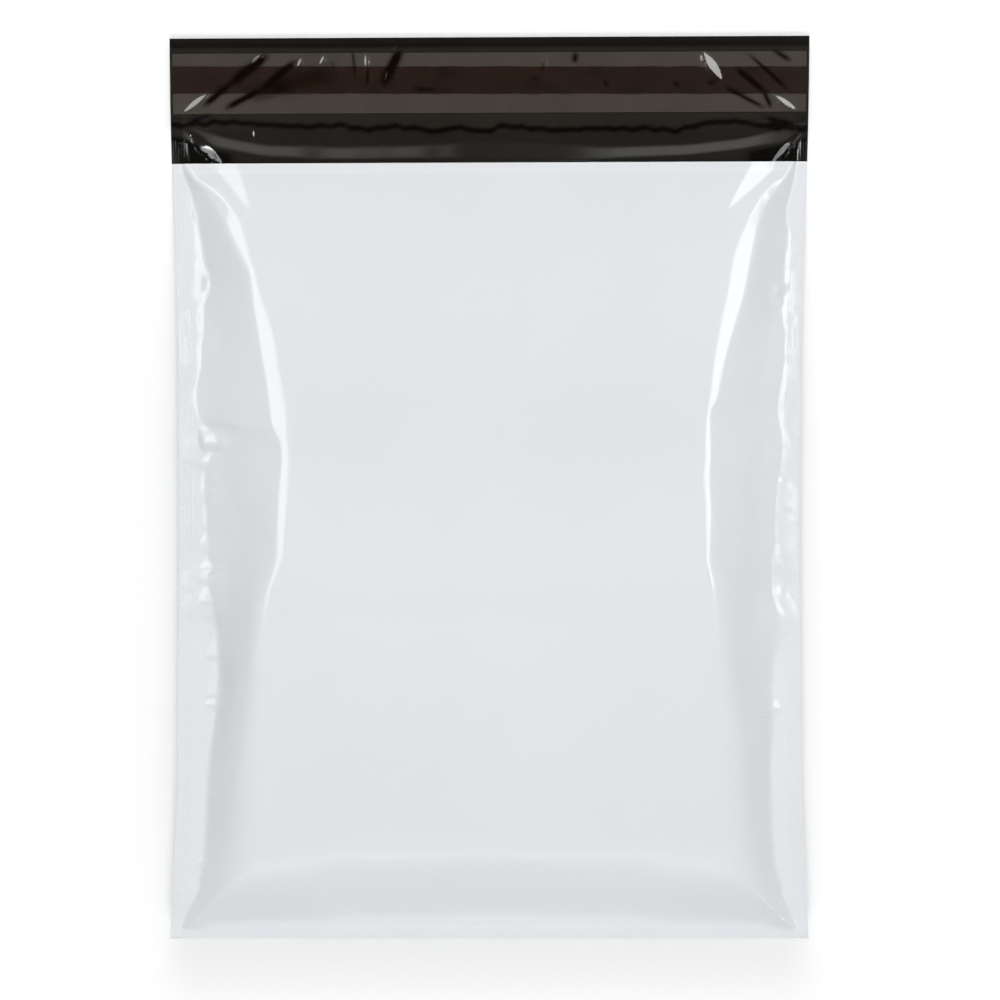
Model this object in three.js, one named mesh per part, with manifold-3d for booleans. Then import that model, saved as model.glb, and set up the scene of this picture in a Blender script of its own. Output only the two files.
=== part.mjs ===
// A filled poly mailer lying on its back: a side-welded film bag with its flap open,
// a glue stripe across the flap and the release liner over the glue.
// Millimetres. +X runs across the bag, +Y toward the flap, +Z up from the surface it lies on.

import * as THREE from "three";
import { mergeVertices } from "three/addons/utils/BufferGeometryUtils.js";
import Module from "manifold-3d";

const wasm = await Module();
wasm.setup();

// Overall sizes of the filled bag
const BAG_WIDTH = 255;
const POUCH_LENGTH = 309;
const FLAP_LENGTH = 50;
const FILL_HEIGHT = 30;

// Film and welds; the film is thicker than the real one so that it is a sound solid
const FILM = 0.4;
const WELD_WIDTH = 5;
const WELD_LIFT = 11;
const FOLD_LIFT = 8;

// Runs of the filled form: from each edge to the level middle
const SIDE_SLOPE = 36;
const BOTTOM_SLOPE = 42;
const MOUTH_SLOPE = 112;
const MOUTH_LIFT_RUN = 120;
const FOLD_LIFT_RUN = 80;

// How far the filling draws each side weld in, and over what length
const WAIST = 4.2;
const WAIST_AT_FOLD = 1.2;
const WAIST_RUN_FROM_FLAP = 125;
const WAIST_RUN_FROM_FOLD = 95;

// Mouth: the front lip and the slit behind it
const LIP_FLAT = 3;
const MOUTH_GAP = 0.6;
const MOUTH_DEPTH = 14;
const CUT_OVERRUN = 1;

// Glue stripe and its liner, measured back from the flap's free edge
const LINER_SETBACK = 6.3;
const LINER_WIDTH = 24;
const LINER_THICKNESS = 0.2;
const GLUE_SETBACK = 11.8;
const GLUE_WIDTH = 11;
const GLUE_THICKNESS = 0.2;
const STRIP_END_INSET = 1.2;

// Mesh steps
const SLOPE_STEPS = 9;
const LEVEL_STEPS = 7;
const FLAP_STEPS = 5;

// Places along the bag
const Y_FOLD = -(POUCH_LENGTH + FLAP_LENGTH) / 2;
const Y_LIP = Y_FOLD + POUCH_LENGTH;
const Y_FLAP_END = Y_LIP + FLAP_LENGTH;
const Y_LIP_FLAT = Y_LIP - LIP_FLAT;
const Y_MIDDLE = (Y_FOLD + Y_LIP) / 2;

const { clamp, lerp, smoothstep } = THREE.MathUtils;

/** Quarter sine: leaves an edge steeply and turns level at the shoulder. */
const pillow = (share) => Math.sin((clamp(share, 0, 1) * Math.PI) / 2);

/** Half the width over the welds at a place along the bag. */
function halfWidth(y) {
  const fromFlap = smoothstep(Y_FLAP_END - y, 0, WAIST_RUN_FROM_FLAP);
  const fromFold = smoothstep(y - Y_FOLD, 0, WAIST_RUN_FROM_FOLD);
  return BAG_WIDTH / 2 - Math.min(WAIST * fromFlap, lerp(WAIST_AT_FOLD, WAIST, fromFold));
}

/** Distance from the inner edge of the nearer side weld, negative on the weld. */
const fromWeld = (x, y) => halfWidth(y) - WELD_WIDTH - Math.abs(x);

/** Zero along the welds and the bottom fold, one on the level middle, with a hip at each bottom corner. */
function edgeRise(x, y) {
  return Math.min(pillow(fromWeld(x, y) / SIDE_SLOPE), pillow((y - Y_FOLD) / BOTTOM_SLOPE));
}

/** Height of the underside: level in the middle, lifted where the leaves are drawn together at the edges. */
function backHeight(x, y) {
  const toMouth = smoothstep(Y_LIP_FLAT - y, 0, MOUTH_LIFT_RUN);
  const toFold = lerp(FOLD_LIFT, WELD_LIFT, smoothstep(y - Y_FOLD, 0, FOLD_LIFT_RUN));
  return toMouth * toFold * (1 - edgeRise(x, y));
}

/** Slack between the two leaves at the mouth, none at the welds. */
const mouthSlack = (x, y) => MOUTH_GAP * edgeRise(x, y);

/** Height of the front leaf: two films at every edge, the full height over the filling. */
function frontHeight(x, y) {
  const shut = backHeight(x, y) + 2 * FILM + mouthSlack(x, y);
  const rise = Math.min(edgeRise(x, y), smoothstep(Y_LIP_FLAT - y, 0, MOUTH_SLOPE));
  return lerp(shut, FILL_HEIGHT, rise);
}

/** Numbers from one value to another in equal steps, the first left out. */
function steps(from, to, count) {
  return Array.from({ length: count }, (_, i) => lerp(from, to, (i + 1) / count));
}

/** Places across the bag at one row: weld edges, slopes and level middle. */
function columns(y) {
  const weld = halfWidth(y) - WELD_WIDTH;
  const shoulder = weld - SIDE_SLOPE;
  const leftHalf = [-halfWidth(y), -weld, ...steps(-weld, -shoulder, SLOPE_STEPS)];
  const rightHalf = [...steps(shoulder, weld, SLOPE_STEPS), halfWidth(y)];
  return [...leftHalf, ...steps(-shoulder, shoulder, LEVEL_STEPS), ...rightHalf];
}

/** A cross row of a slab: matching points on its upper and lower faces. */
function row(y, across, upper, lower) {
  return across.map((x) => [new THREE.Vector3(x, y, upper(x, y)), new THREE.Vector3(x, y, lower(x, y))]);
}

/** Closed solid between the upper and lower points of a run of rows. */
function slab(rows) {
  const corners = [];
  const quad = (a, b, c, d, alongBD) => {
    corners.push(...(alongBD ? [a, b, d, b, c, d] : [a, b, c, a, c, d]));
  };
  const last = rows[0].length - 1;
  for (let i = 0; i + 1 < rows.length; i += 1) {
    const [here, next] = [rows[i], rows[i + 1]];
    for (let j = 0; j < last; j += 1) {
      const [a, b, c, d] = [here[j], here[j + 1], next[j + 1], next[j]];
      const alongBD = a[0].x + b[0].x > 0 !== a[0].y > Y_MIDDLE;
      quad(a[0], b[0], c[0], d[0], alongBD);
      quad(b[1], a[1], d[1], c[1], !alongBD);
    }
    quad(here[0][1], here[0][0], next[0][0], next[0][1], false);
    quad(here[last][0], here[last][1], next[last][1], next[last][0], false);
  }
  const [first, end] = [rows[0], rows[rows.length - 1]];
  for (let j = 0; j < last; j += 1) {
    quad(first[j][1], first[j + 1][1], first[j + 1][0], first[j][0], false);
    quad(end[j][0], end[j + 1][0], end[j + 1][1], end[j][1], false);
  }
  return solidFrom(new THREE.BufferGeometry().setFromPoints(corners));
}

/** A boolean-ready solid from a geometry, with triangles that shrank to a line left out. */
function solidFrom(geometry) {
  geometry.deleteAttribute("normal");
  geometry.deleteAttribute("uv");
  const merged = mergeVertices(geometry, 1e-4);
  const index = merged.index.array;
  const triangles = [];
  for (let i = 0; i < index.length; i += 3) {
    const [a, b, c] = index.slice(i, i + 3);
    if (a !== b && b !== c && c !== a) triangles.push(a, b, c);
  }
  const vertProperties = new Float32Array(merged.attributes.position.array);
  return new wasm.Manifold(new wasm.Mesh({ numProp: 3, vertProperties, triVerts: new Uint32Array(triangles) }));
}

/** Flat-shaded three.js geometry of a boolean solid. */
function geometryFrom(solid) {
  const { numProp, vertProperties, triVerts } = solid.getMesh();
  const geometry = new THREE.BufferGeometry();
  geometry.setAttribute("position", new THREE.BufferAttribute(vertProperties, numProp));
  geometry.setIndex(new THREE.BufferAttribute(triVerts, 1));
  const faceted = geometry.toNonIndexed();
  faceted.computeVertexNormals();
  return faceted;
}

/** The filled pouch and its flap, one film, before the mouth is slit. */
function filledBag() {
  const pouchRows = [
    Y_FOLD,
    ...steps(Y_FOLD, Y_FOLD + BOTTOM_SLOPE, SLOPE_STEPS),
    ...steps(Y_FOLD + BOTTOM_SLOPE, Y_LIP_FLAT - MOUTH_SLOPE, LEVEL_STEPS),
    ...steps(Y_LIP_FLAT - MOUTH_SLOPE, Y_LIP_FLAT, SLOPE_STEPS),
    Y_LIP,
  ];
  const flapRows = [Y_LIP, ...steps(Y_LIP, Y_FLAP_END, FLAP_STEPS)];
  const flapFace = (x, y) => backHeight(x, y) + FILM;
  return slab([
    ...pouchRows.map((y) => row(y, columns(y), frontHeight, backHeight)),
    ...flapRows.map((y) => row(y, columns(y), flapFace, backHeight)),
  ]);
}

/** The thin lens of air that parts the two leaves behind the lip. */
function mouthSlit() {
  const lipColumns = columns(Y_LIP).slice(1, -1);
  const floor = () => FILM;
  const roof = (x) => FILM + mouthSlack(x, Y_LIP);
  return slab([
    row(Y_LIP - MOUTH_DEPTH, lipColumns, floor, floor),
    row(Y_LIP, lipColumns, roof, floor),
    row(Y_LIP + CUT_OVERRUN, lipColumns, roof, floor),
  ]);
}

/** A flat strip right across the flap, set back from its free edge. */
function strip(setback, width, thickness) {
  const box = new THREE.BoxGeometry(BAG_WIDTH - 2 * STRIP_END_INSET, width, thickness);
  return box.translate(0, Y_FLAP_END - setback - width / 2, thickness / 2);
}

/** A named mesh resting at a height above the surface. */
function piece(name, geometry, material, height) {
  const mesh = new THREE.Mesh(geometry, material);
  mesh.name = name;
  mesh.position.z = height;
  return mesh;
}

const whiteFilm = new THREE.MeshStandardMaterial({ color: 0xe4e8ea, roughness: 0.3, metalness: 0 });
const brownGlue = new THREE.MeshStandardMaterial({ color: 0x2e2119, roughness: 0.35, metalness: 0 });
const greyLiner = new THREE.MeshStandardMaterial({ color: 0x46413b, roughness: 0.4, metalness: 0 });

const mailer = new THREE.Group();
mailer.name = "poly_mailer_bag";
const bagGeometry = geometryFrom(filledBag().subtract(mouthSlit()));
const glueGeometry = strip(GLUE_SETBACK, GLUE_WIDTH, GLUE_THICKNESS);
const linerGeometry = strip(LINER_SETBACK, LINER_WIDTH, LINER_THICKNESS);
mailer.add(piece("bag", bagGeometry, whiteFilm, 0));
mailer.add(piece("adhesive_strip", glueGeometry, brownGlue, FILM));
mailer.add(piece("release_liner", linerGeometry, greyLiner, FILM + GLUE_THICKNESS));

export default mailer;
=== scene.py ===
"""A filled poly mailer on its back: a film pouch, its black-lined flap, glue stripe and release liner."""

import logging
import math
from dataclasses import dataclass
from enum import Enum, IntEnum

import bmesh
import bpy
import numpy as np
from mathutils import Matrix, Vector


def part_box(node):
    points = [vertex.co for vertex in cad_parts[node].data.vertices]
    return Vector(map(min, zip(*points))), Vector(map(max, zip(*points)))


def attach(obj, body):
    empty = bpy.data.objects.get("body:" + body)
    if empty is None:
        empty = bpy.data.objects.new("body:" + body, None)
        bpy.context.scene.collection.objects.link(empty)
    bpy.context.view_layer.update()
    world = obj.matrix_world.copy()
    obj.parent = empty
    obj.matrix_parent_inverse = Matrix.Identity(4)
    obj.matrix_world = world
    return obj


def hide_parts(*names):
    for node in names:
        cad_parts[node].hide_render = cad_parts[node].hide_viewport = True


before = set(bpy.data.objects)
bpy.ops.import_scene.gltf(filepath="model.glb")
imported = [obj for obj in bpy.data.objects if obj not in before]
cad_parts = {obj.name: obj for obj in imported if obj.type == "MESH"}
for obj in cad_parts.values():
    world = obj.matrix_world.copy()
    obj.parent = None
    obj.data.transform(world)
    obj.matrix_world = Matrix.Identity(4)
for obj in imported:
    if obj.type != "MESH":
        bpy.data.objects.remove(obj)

LOG = logging.getLogger("poly_mailer")
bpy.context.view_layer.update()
MM = 0.001
SHARP_DEG = 40.0

Array = np.ndarray
Colour = tuple[float, float, float]
Place = tuple[float, float, float]
Pair = tuple[float, float]
Line = tuple[Pair, ...]


class FilmSide(IntEnum):
    """Which side of the two-coloured film a face shows; the value is its material slot."""

    OUTSIDE = 0
    INSIDE = 1


def ease(share: Array) -> Array:
    """Smooth step from 0 to 1, held outside that range."""
    held = np.clip(share, 0.0, 1.0)
    return held * held * (3.0 - 2.0 * held)


def node_box(node: str) -> tuple[Array, Array]:
    """Lowest and highest corners of a CAD node, in millimetres."""
    low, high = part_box(node)
    return np.array(low) / MM, np.array(high) / MM


# Shader wiring


class Wire:
    """An output socket that takes part in Python arithmetic by adding Math nodes."""

    def __init__(self, bench: "NodeBench", socket: bpy.types.NodeSocket) -> None:
        """Hold a socket and the bench that adds nodes beside it."""
        self.bench = bench
        self.socket = socket

    def math(self, operation: str, *values: "Wire | float") -> "Wire":
        """Add a Math node.

        Args:
            operation: The Math node's operation.
            *values: Its inputs, in order.

        Returns:
            The node's output.
        """
        node = self.bench.add("ShaderNodeMath", {"operation": operation}, dict(enumerate(values)))
        return Wire(self.bench, node.outputs[0])

    def __add__(self, other: "Wire | float") -> "Wire":
        """Sum."""
        return self.math("ADD", self, other)

    __radd__ = __add__

    def __sub__(self, other: "Wire | float") -> "Wire":
        """Difference."""
        return self.math("SUBTRACT", self, other)

    def __rsub__(self, other: float) -> "Wire":
        """Difference from a number."""
        return self.math("SUBTRACT", other, self)

    def __mul__(self, other: "Wire | float") -> "Wire":
        """Product."""
        return self.math("MULTIPLY", self, other)

    __rmul__ = __mul__

    def step(self, low: float, high: float) -> "Wire":
        """Smooth step from 0 at low to 1 at high."""
        node = self.bench.add(
            "ShaderNodeMapRange",
            {"interpolation_type": "SMOOTHSTEP"},
            {"Value": self, "From Min": low, "From Max": high},
        )
        return Wire(self.bench, node.outputs[0])


class NodeBench:
    """Adds nodes to one node tree, with their settings, values and links."""

    def __init__(self, tree: bpy.types.NodeTree) -> None:
        """Start on a tree and clear its nodes."""
        self.tree = tree
        tree.nodes.clear()

    def add(self, kind: str, settings: dict | None = None, sockets: dict | None = None) -> bpy.types.Node:
        """Add a node.

        Args:
            kind: The node's type name.
            settings: Properties of the node, set before its sockets.
            sockets: Input values or links, by socket name or number.

        Returns:
            The new node.
        """
        node = self.tree.nodes.new(kind)
        for key, value in (settings or {}).items():
            setattr(node, key, value)
        for key, value in (sockets or {}).items():
            if isinstance(value, Wire):
                self.tree.links.new(value.socket, node.inputs[key])
            else:
                node.inputs[key].default_value = value
        return node

    def wire(
        self, kind: str, output: str | int, settings: dict | None = None, sockets: dict | None = None
    ) -> Wire:
        """Add a node and take one of its outputs.

        Args:
            kind: The node's type name.
            output: Name or number of the output.
            settings: Properties of the node.
            sockets: Input values or links.

        Returns:
            The output, ready for arithmetic.
        """
        return Wire(self, self.add(kind, settings, sockets).outputs[output])

    def stretched_noise(self, per_metre: Place, detail: float, seed: float) -> Wire:
        """Noise on Object coordinates with its own frequency along each axis.

        Args:
            per_metre: Cells per metre along X, Y and Z.
            detail: Octaves.
            seed: Offset that keeps two patterns apart.

        Returns:
            The noise value, about 0.5 on average.
        """
        place = self.wire("ShaderNodeTexCoord", "Object")
        turned = self.wire(
            "ShaderNodeMapping", 0, None, {"Vector": place, "Location": (seed,) * 3, "Scale": per_metre}
        )
        sockets = {"Vector": turned, "Scale": 1.0, "Detail": detail, "Roughness": 0.55}
        return self.wire("ShaderNodeTexNoise", 0, {"noise_dimensions": "3D"}, sockets)

    def mix_colour(self, share: Wire, first: Colour | Wire, second: Colour | Wire) -> Wire:
        """Blend two colours.

        Args:
            share: From 0 for the first colour to 1 for the second.
            first: A colour.
            second: Another.

        Returns:
            The blend.
        """
        first = first if isinstance(first, Wire) else (*first, 1.0)
        second = second if isinstance(second, Wire) else (*second, 1.0)
        # The Mix node has inputs of every data type; those for colours are 6 and 7, and output 2.
        node = self.add("ShaderNodeMix", {"data_type": "RGBA"}, {0: share, 6: first, 7: second})
        return Wire(self, node.outputs[2])

    def bump(self, height: Wire, strength: float, depth_mm: float) -> Wire:
        """Normal from a height pattern of a stated depth."""
        sockets = {"Height": height, "Strength": strength, "Distance": depth_mm * MM}
        return self.wire("ShaderNodeBump", 0, None, sockets)


def new_material(name: str) -> tuple[bpy.types.Material, NodeBench]:
    """Make a material with an empty node tree.

    Args:
        name: Its name.

    Returns:
        The material and a bench on its tree.
    """
    material = bpy.data.materials.new(name)
    material.use_nodes = True
    return material, NodeBench(material.node_tree)


def finish_surface(bench: NodeBench, sockets: dict) -> None:
    """Put a Principled surface with the given inputs on a material's output."""
    shader = bench.wire("ShaderNodeBsdfPrincipled", 0, None, sockets)
    bench.add("ShaderNodeOutputMaterial", None, {"Surface": shader})


# Finishes


@dataclass(frozen=True)
class FilmFinish:
    """Blown polyethylene film: die lines along its length, slow clouds of haze and a fine grain."""

    name: str
    colour: Colour
    cloud_colour: Colour
    roughness: float
    roughness_swing: float
    die_line_depth_mm: float
    grain_depth_mm: float
    specular: float
    shade_colour: Colour
    coat: float
    coat_roughness: float = 0.05
    coat_ior: float = 2.25

    def material(self) -> bpy.types.Material:
        """Build the film's material.

        Returns:
            The material.
        """
        material, bench = new_material(self.name)
        clouds = bench.stretched_noise((22.0, 14.0, 22.0), detail=3.0, seed=3.1)
        die_lines = bench.stretched_noise((420.0, 5.0, 420.0), detail=2.0, seed=7.7)
        grain = bench.stretched_noise((1300.0, 1300.0, 1300.0), detail=2.0, seed=1.3)
        roughness = self.roughness + self.roughness_swing * (die_lines + clouds - 1.0)
        lines_normal = bench.bump(die_lines, strength=1.0, depth_mm=self.die_line_depth_mm)
        sockets = {"Height": grain, "Distance": self.grain_depth_mm * MM, "Normal": lines_normal}
        normal = bench.wire("ShaderNodeBump", 0, None, sockets)
        tone = bench.wire("ShaderNodeAttribute", "Fac", {"attribute_name": "tone"})
        colour = bench.mix_colour(clouds.step(0.3, 0.7), self.colour, self.cloud_colour)
        finish_surface(
            bench,
            {
                # Tone mixes in shade_colour; on the black film that is painted shade of its folds.
                "Base Color": bench.mix_colour(tone, self.shade_colour, colour),
                "Roughness": roughness,
                "Specular IOR Level": self.specular,
                "Coat Weight": self.coat * tone.step(0.0, 0.3) if self.coat else 0.0,
                "Coat Roughness": self.coat_roughness,
                "Coat IOR": self.coat_ior,
                "Normal": normal,
            },
        )
        return material


@dataclass(frozen=True)
class GlueFinish:
    """Hot-melt glue: dark brown, glossy, with trapped bubbles and coating streaks."""

    name: str = "hot_melt_glue"
    colour: Colour = (0.022, 0.011, 0.007)
    streak_colour: Colour = (0.034, 0.018, 0.011)
    roughness: float = 0.28
    bubble_roughness: float = 0.2

    def material(self) -> bpy.types.Material:
        """Build the glue's material.

        Returns:
            The material.
        """
        material, bench = new_material(self.name)
        streaks = bench.stretched_noise((18.0, 700.0, 60.0), detail=2.0, seed=2.2)
        bubbles = bench.stretched_noise((260.0, 260.0, 260.0), detail=1.0, seed=5.4)
        finish_surface(
            bench,
            {
                "Base Color": bench.mix_colour(streaks.step(0.35, 0.75), self.colour, self.streak_colour),
                "Roughness": self.roughness + self.bubble_roughness * bubbles.step(0.55, 0.75),
                "Normal": bench.bump(bubbles, strength=0.5, depth_mm=0.06),
            },
        )
        return material


@dataclass(frozen=True)
class LinerFinish:
    """Release film: hazy grey over air, clear and brown where glue wets it, painted shade in its folds."""

    glue_low_mm: float
    glue_high_mm: float
    name: str = "liner_film"
    haze_colour: Colour = (0.054, 0.0455, 0.0355)
    haze_shade: Colour = (0.046, 0.0385, 0.03)
    wet_colour: Colour = (0.0155, 0.0068, 0.0032)
    wet_shade: Colour = (0.0085, 0.0032, 0.0014)
    painted_fold_shade: Colour = (0.0042, 0.0022, 0.0008)
    edge_mm: float = 0.35
    raggedness_mm: float = 0.8
    roughness: float = 0.26
    cloud_roughness: float = 0.12
    wet_gloss: float = 0.06
    fold_roughness: float = 0.08
    specular: float = 0.15
    coat: float = 0.6
    coat_roughness: float = 0.06
    coat_ior: float = 1.9

    def material(self) -> bpy.types.Material:
        """Build the liner's material.

        Returns:
            The material.
        """
        material, bench = new_material(self.name)
        place = bench.wire("ShaderNodeTexCoord", "Object")
        along = Wire(bench, bench.add("ShaderNodeSeparateXYZ", None, {0: place}).outputs["Y"])
        wander = bench.stretched_noise((120.0, 40.0, 40.0), detail=2.0, seed=9.1)
        ragged = (wander - 0.5) * (self.raggedness_mm * MM)
        edge = self.edge_mm * MM
        low, high = self.glue_low_mm * MM, self.glue_high_mm * MM
        inside = (along + ragged).step(low - edge, low + edge)
        outside = (along + ragged).step(high - edge, high + edge)
        wet = inside - outside
        clouds = bench.stretched_noise((60.0, 25.0, 25.0), detail=4.0, seed=4.4)
        bubbles = bench.stretched_noise((110.0, 150.0, 110.0), detail=2.0, seed=6.6).step(0.4, 0.8)
        ripples = bench.stretched_noise((500.0, 30.0, 30.0), detail=3.0, seed=8.8)
        haze = bench.mix_colour(clouds.step(0.3, 0.7), self.haze_colour, self.haze_shade)
        glue = bench.mix_colour(bubbles, self.wet_colour, self.wet_shade)
        tone = bench.wire("ShaderNodeAttribute", "Fac", {"attribute_name": "tone"})
        dullness = self.roughness - self.wet_gloss * wet + self.cloud_roughness * (clouds - 0.5)
        finish_surface(
            bench,
            {
                # The tone attribute mixes in painted shade where the flap is creased.
                "Base Color": bench.mix_colour(tone, self.painted_fold_shade, bench.mix_colour(wet, haze, glue)),
                "Roughness": self.fold_roughness + tone * dullness,
                "Specular IOR Level": self.specular,
                "Coat Weight": self.coat * tone,
                "Coat Roughness": self.coat_roughness,
                "Coat IOR": self.coat_ior,
                "Normal": bench.bump(ripples, strength=0.5, depth_mm=0.012),
            },
        )
        return material


@dataclass(frozen=True)
class FloorFinish:
    """White sweep: plain for light, lifted to white where it is looked at or mirrored, shadows kept."""

    name: str = "white_sweep"
    colour: Colour = (0.8, 0.8, 0.8)
    lift: float = 0.19

    def material(self) -> bpy.types.Material:
        """Build the floor's material.

        Returns:
            The material.
        """
        material, bench = new_material(self.name)
        path = bench.add("ShaderNodeLightPath")
        rays = ("Is Camera Ray", "Is Glossy Ray", "Is Transmission Ray")
        camera, glossy, through = (Wire(bench, path.outputs[name]) for name in rays)
        seen = camera.math("MAXIMUM", camera.math("MAXIMUM", camera, glossy), through)
        plain = bench.wire("ShaderNodeBsdfDiffuse", 0, None, {"Color": (*self.colour, 1.0)})
        glow = bench.wire("ShaderNodeEmission", 0, None, {"Strength": seen * self.lift})
        both = bench.wire("ShaderNodeAddShader", 0, None, {0: plain, 1: glow})
        bench.add("ShaderNodeOutputMaterial", None, {"Surface": both})
        return material


WHITE_FILM = FilmFinish(
    name="white_film",
    colour=(0.765, 0.782, 0.798),
    cloud_colour=(0.778, 0.793, 0.809),
    roughness=0.17,
    roughness_swing=0.04,
    die_line_depth_mm=0.008,
    grain_depth_mm=0.003,
    specular=0.5,
    shade_colour=(0.55, 0.617, 0.683),
    coat=0.0,
)
BLACK_FILM = FilmFinish(
    name="black_film",
    colour=(0.0215, 0.0182, 0.0112),
    cloud_colour=(0.025, 0.0212, 0.0134),
    roughness=0.14,
    roughness_swing=0.05,
    die_line_depth_mm=0.008,
    grain_depth_mm=0.003,
    specular=0.3,
    # Painted shade of the flap's grooves, wavy fold and corners.
    shade_colour=(0.0004, 0.0002, 0.0001),
    coat=1.0,
)


# Mesh drafting


class MeshDraft:
    """Collects points and faces, then makes one Blender object in metres at the origin."""

    def __init__(self) -> None:
        """Start empty."""
        self.blocks: list[Array] = []
        self.tones: list[Array] = []
        self.count = 0
        self.faces: list[list[int]] = []
        self.slots: list[int] = []

    def points(self, places: Array, tone: Array | float = 1.0) -> Array:
        """Add points in millimetres.

        Args:
            places: Points, in any grid shape with three numbers last.
            tone: Their tones, from 0 where painted shade darkens a fold to 1.

        Returns:
            Their indices, in the same grid shape.
        """
        flat = places.reshape(-1, 3)
        self.tones.append(np.broadcast_to(tone, places.shape[:-1]).ravel())
        index = np.arange(self.count, self.count + len(flat)).reshape(places.shape[:-1])
        self.blocks.append(flat)
        self.count += len(flat)
        return index

    def add_faces(self, corners: Array, slot: int) -> None:
        """Add faces, each without the corners that it repeats.

        Args:
            corners: Indices, with each face's corners last.
            slot: Their material slot.
        """
        for face in corners.reshape(-1, corners.shape[-1]).tolist():
            kept = list(dict.fromkeys(face))
            if len(kept) > 2:
                self.faces.append(kept)
                self.slots.append(slot)

    def sheet(self, index: Array, slot: int = 0, flip: bool = False) -> None:
        """Add the triangles of a grid of indices, split the same way on both sides of a film.

        Args:
            index: The grid, rows by columns.
            slot: The triangles' material slot.
            flip: Whether they face down.
        """
        here, right = index[:-1, :-1], index[:-1, 1:]
        above, across = index[1:, :-1], index[1:, 1:]
        for corners in ([here, right, across], [here, across, above]):
            self.add_faces(np.stack(corners[::-1] if flip else corners, -1), slot)

    def wall(self, upper: Array, lower: Array, slot: int = 0) -> None:
        """Add the quads between two lines of indices, facing right of the way they run."""
        self.add_faces(np.stack([lower[:-1], lower[1:], upper[1:], upper[:-1]], -1), slot)

    def build(self, name: str, materials: list[bpy.types.Material]) -> bpy.types.Object:
        """Make the object, smooth but for its sharp edges.

        Args:
            name: Its name.
            materials: Its material slots, in order.

        Returns:
            The object, at the origin.
        """
        mesh = bpy.data.meshes.new(name)
        mesh.from_pydata((np.concatenate(self.blocks) * MM).tolist(), [], self.faces)
        mesh.polygons.foreach_set("material_index", self.slots)
        mesh.attributes.new("tone", "FLOAT", "POINT").data.foreach_set("value", np.concatenate(self.tones))
        for material in materials:
            mesh.materials.append(material)
        tidy = bmesh.new()
        tidy.from_mesh(mesh)
        loose = [vertex for vertex in tidy.verts if not vertex.link_faces]
        bmesh.ops.delete(tidy, geom=loose, context="VERTS")
        bmesh.ops.recalc_face_normals(tidy, faces=tidy.faces)
        tidy.to_mesh(mesh)
        tidy.free()
        mesh.shade_smooth()
        mesh.set_sharp_from_angle(angle=math.radians(SHARP_DEG))
        piece = bpy.data.objects.new(name, mesh)
        bpy.context.scene.collection.objects.link(piece)
        return piece


def grid_normals(points: Array) -> Array:
    """Unit normals of a grid of points.

    Args:
        points: The grid, with rows one after another along Y and columns along X.

    Returns:
        The normals, in the same grid shape.
    """
    across = np.gradient(points, axis=1)
    along = np.gradient(points, axis=0)
    normal = np.cross(across, along)
    return normal / np.linalg.norm(normal, axis=-1, keepdims=True)


# The film bag


@dataclass(frozen=True)
class FilmMark:
    """A straight mark on the film, from its start to its end.

    Places are millimetres from the bag's middle line and up from the front lip.
    """

    start: Pair
    end: Pair

    def measure(self, x: Array, up: Array) -> tuple[float, Array, Array]:
        """Measure places on the film against the mark.

        Args:
            x: Places across the bag.
            up: Places along it from the lip.

        Returns:
            The mark's length, and how far the places lie along the mark and to its left.
        """
        run = np.subtract(self.end, self.start)
        length = float(np.hypot(*run))
        along = ((x - self.start[0]) * run[0] + (up - self.start[1]) * run[1]) / length
        across = ((up - self.start[1]) * run[0] - (x - self.start[0]) * run[1]) / length
        return length, along, across


@dataclass(frozen=True)
class Crease(FilmMark):
    """A crease in film: a ridge, or a groove where the height is negative."""

    width: float
    height: float
    end_share: float = 0.35

    def rise(self, x: Array, up: Array) -> Array:
        """Height that the crease adds at places on the film.

        Args:
            x: Places across the bag.
            up: Places along it from the lip.

        Returns:
            Heights in millimetres.
        """
        length, along, across = self.measure(x, up)
        fade = self.end_share * length
        taper = ease(along / fade) * ease((length - along) / fade)
        return self.height * taper * np.exp(-((across / self.width) ** 2))


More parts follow.
